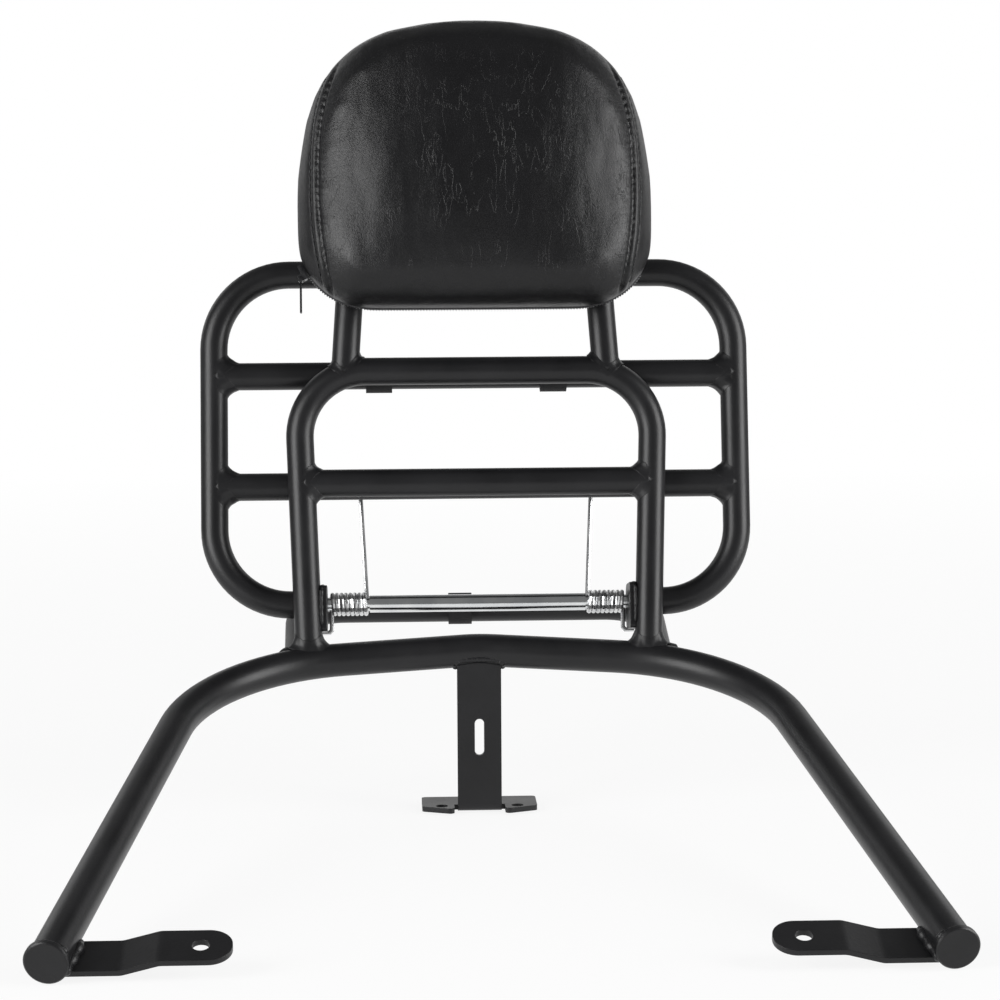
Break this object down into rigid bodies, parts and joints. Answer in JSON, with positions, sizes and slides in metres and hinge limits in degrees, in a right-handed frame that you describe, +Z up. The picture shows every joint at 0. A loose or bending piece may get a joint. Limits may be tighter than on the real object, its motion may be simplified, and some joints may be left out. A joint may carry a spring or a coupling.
{
  "type": "scooter rear rack with backrest",
  "caption": "Black tubular rear rack for a scooter, with a padded backrest on a hoop and a sprung luggage carrier that folds down behind it.",
  "frame": {"origin": "on the underside of the centre bracket's foot, in the middle of the rack", "axes": "+Z up, +Y towards the scooter's rear, +X to the right in the picture, which looks from the seat towards the rear"},
  "size_m": [0.4464, 0.4439, 0.4583],
  "materials": {
    "black_coat": "satin powder coat",
    "black_rubber": "matt",
    "zinc": "zinc plated",
    "spring_steel": "bright drawn wire",
    "bush_plastic": "moulded",
    "plywood": "raw",
    "leatherette": "semi-gloss grain",
    "zip_metal": "black lacquer"
  },
  "bodies": {
    "frame": {"main_tube": "black_coat", "left_end_cap": "black_coat", "right_end_cap": "black_coat", "left_mount_tab": "black_coat", "right_mount_tab": "black_coat", "centre_bracket": "black_coat", "backrest_hoop": "black_coat", "hoop_crossbar": "black_coat", "left_backrest_post": "black_coat", "right_backrest_post": "black_coat", "left_hinge_lug": "black_coat", "right_hinge_lug": "black_coat", "carrier_support": "black_coat", "support_sleeve": "black_rubber", "hinge_rod": "zinc", "spacer_tube": "zinc", "left_spring": "spring_steel", "right_spring": "spring_steel", "pad_plate": "black_coat", "pad_board": "plywood", "pad_cushion": "leatherette", "pad_screws": "zinc", "zip_slider": "zip_metal"},
    "carrier": {"carrier_frame": "black_coat", "lower_crossbar": "black_coat", "upper_crossbar": "black_coat", "left_hinge_bush": "bush_plastic", "right_hinge_bush": "bush_plastic", "left_buffer": "black_rubber", "right_buffer": "black_rubber"},
    "zip_tab": {"zip_pull": "zip_metal"}
  },
  "joints": [
    {"name": "carrier_fold", "type": "hinge", "parent": "frame", "child": "carrier", "pos_m": [0, 0.01067, 0.11993], "axis": [-1, 0, 0], "range_deg": [0, 75], "stiffness_Nm_per_rad": 1.2, "springref_deg": -34.38, "deforming": ["left_spring", "right_spring"]},
    {"name": "zip_pull_swing", "type": "hinge", "parent": "frame", "child": "zip_tab", "pos_m": [-0.1005, 0.01306, 0.30914], "axis": [0, 0.9781, -0.2079], "range_deg": [0, 120]}
  ]
}
